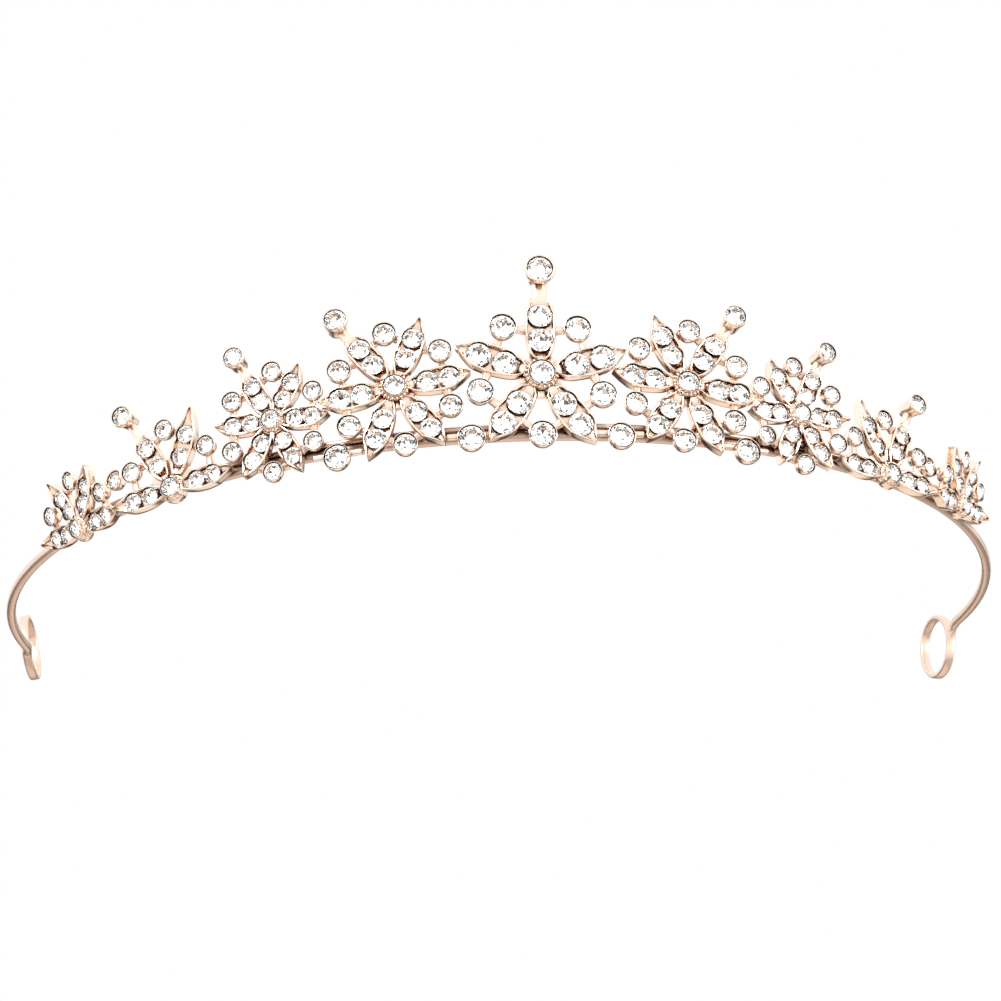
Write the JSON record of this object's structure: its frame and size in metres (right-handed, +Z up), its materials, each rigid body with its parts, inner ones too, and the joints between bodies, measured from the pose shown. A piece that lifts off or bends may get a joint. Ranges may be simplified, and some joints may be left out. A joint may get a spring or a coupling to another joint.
{
  "type": "bridal tiara",
  "caption": "Bridal tiara: a row of cast rose-gold flowers set with round clear crystals, tallest in the middle, on an open horseshoe band with an oval loop at each end.",
  "frame": {"origin": "bottom centre of the bounding box, level with the lowest point of the flowers and loops", "axes": "+Z up through the flowers, -Y towards the front flower, +X towards the right-hand loop as seen from the front"},
  "size_m": [0.1414, 0.0884, 0.0264],
  "materials": {
    "rose_gold_casting": "polished rose-gold plate",
    "rose_gold_wire": "satin rose-gold plate",
    "crystal": "clear, faceted, foil-backed",
    "solder": "satin"
  },
  "bodies": {
    "root": {"centre_finial_cup": "rose_gold_casting", "centre_flower_casting": "rose_gold_casting", "centre_flower_stones": "crystal", "centre_rosette_cup": "rose_gold_casting", "finial_stones": "crystal", "gallery_rail": "rose_gold_casting", "headband_wire": "rose_gold_wire", "left_end_flower_casting": "rose_gold_casting", "left_end_flower_stones": "crystal", "left_end_loop": "rose_gold_wire", "left_end_rosette_cup": "rose_gold_casting", "left_inner_finial_cup": "rose_gold_casting", "left_inner_flower_casting": "rose_gold_casting", "left_inner_flower_stones": "crystal", "left_inner_rosette_cup": "rose_gold_casting", "left_link_cups": "rose_gold_casting", "left_link_stones": "crystal", "left_mid_finial_cup": "rose_gold_casting", "left_mid_flower_casting": "rose_gold_casting", "left_mid_flower_stones": "crystal", "left_mid_rosette_cup": "rose_gold_casting", "left_outer_finial_cup": "rose_gold_casting", "left_outer_flower_casting": "rose_gold_casting", "left_outer_flower_stones": "crystal", "left_outer_rosette_cup": "rose_gold_casting", "right_end_flower_casting": "rose_gold_casting", "right_end_flower_stones": "crystal", "right_end_loop": "rose_gold_wire", "right_end_rosette_cup": "rose_gold_casting", "right_inner_finial_cup": "rose_gold_casting", "right_inner_flower_casting": "rose_gold_casting", "right_inner_flower_stones": "crystal", "right_inner_rosette_cup": "rose_gold_casting", "right_link_cups": "rose_gold_casting", "right_link_stones": "crystal", "right_mid_finial_cup": "rose_gold_casting", "right_mid_flower_casting": "rose_gold_casting", "right_mid_flower_stones": "crystal", "right_mid_rosette_cup": "rose_gold_casting", "right_outer_finial_cup": "rose_gold_casting", "right_outer_flower_casting": "rose_gold_casting", "right_outer_flower_stones": "crystal", "right_outer_rosette_cup": "rose_gold_casting", "rosette_stones": "crystal", "solder_beads": "solder"}
  },
  "joints": []
}
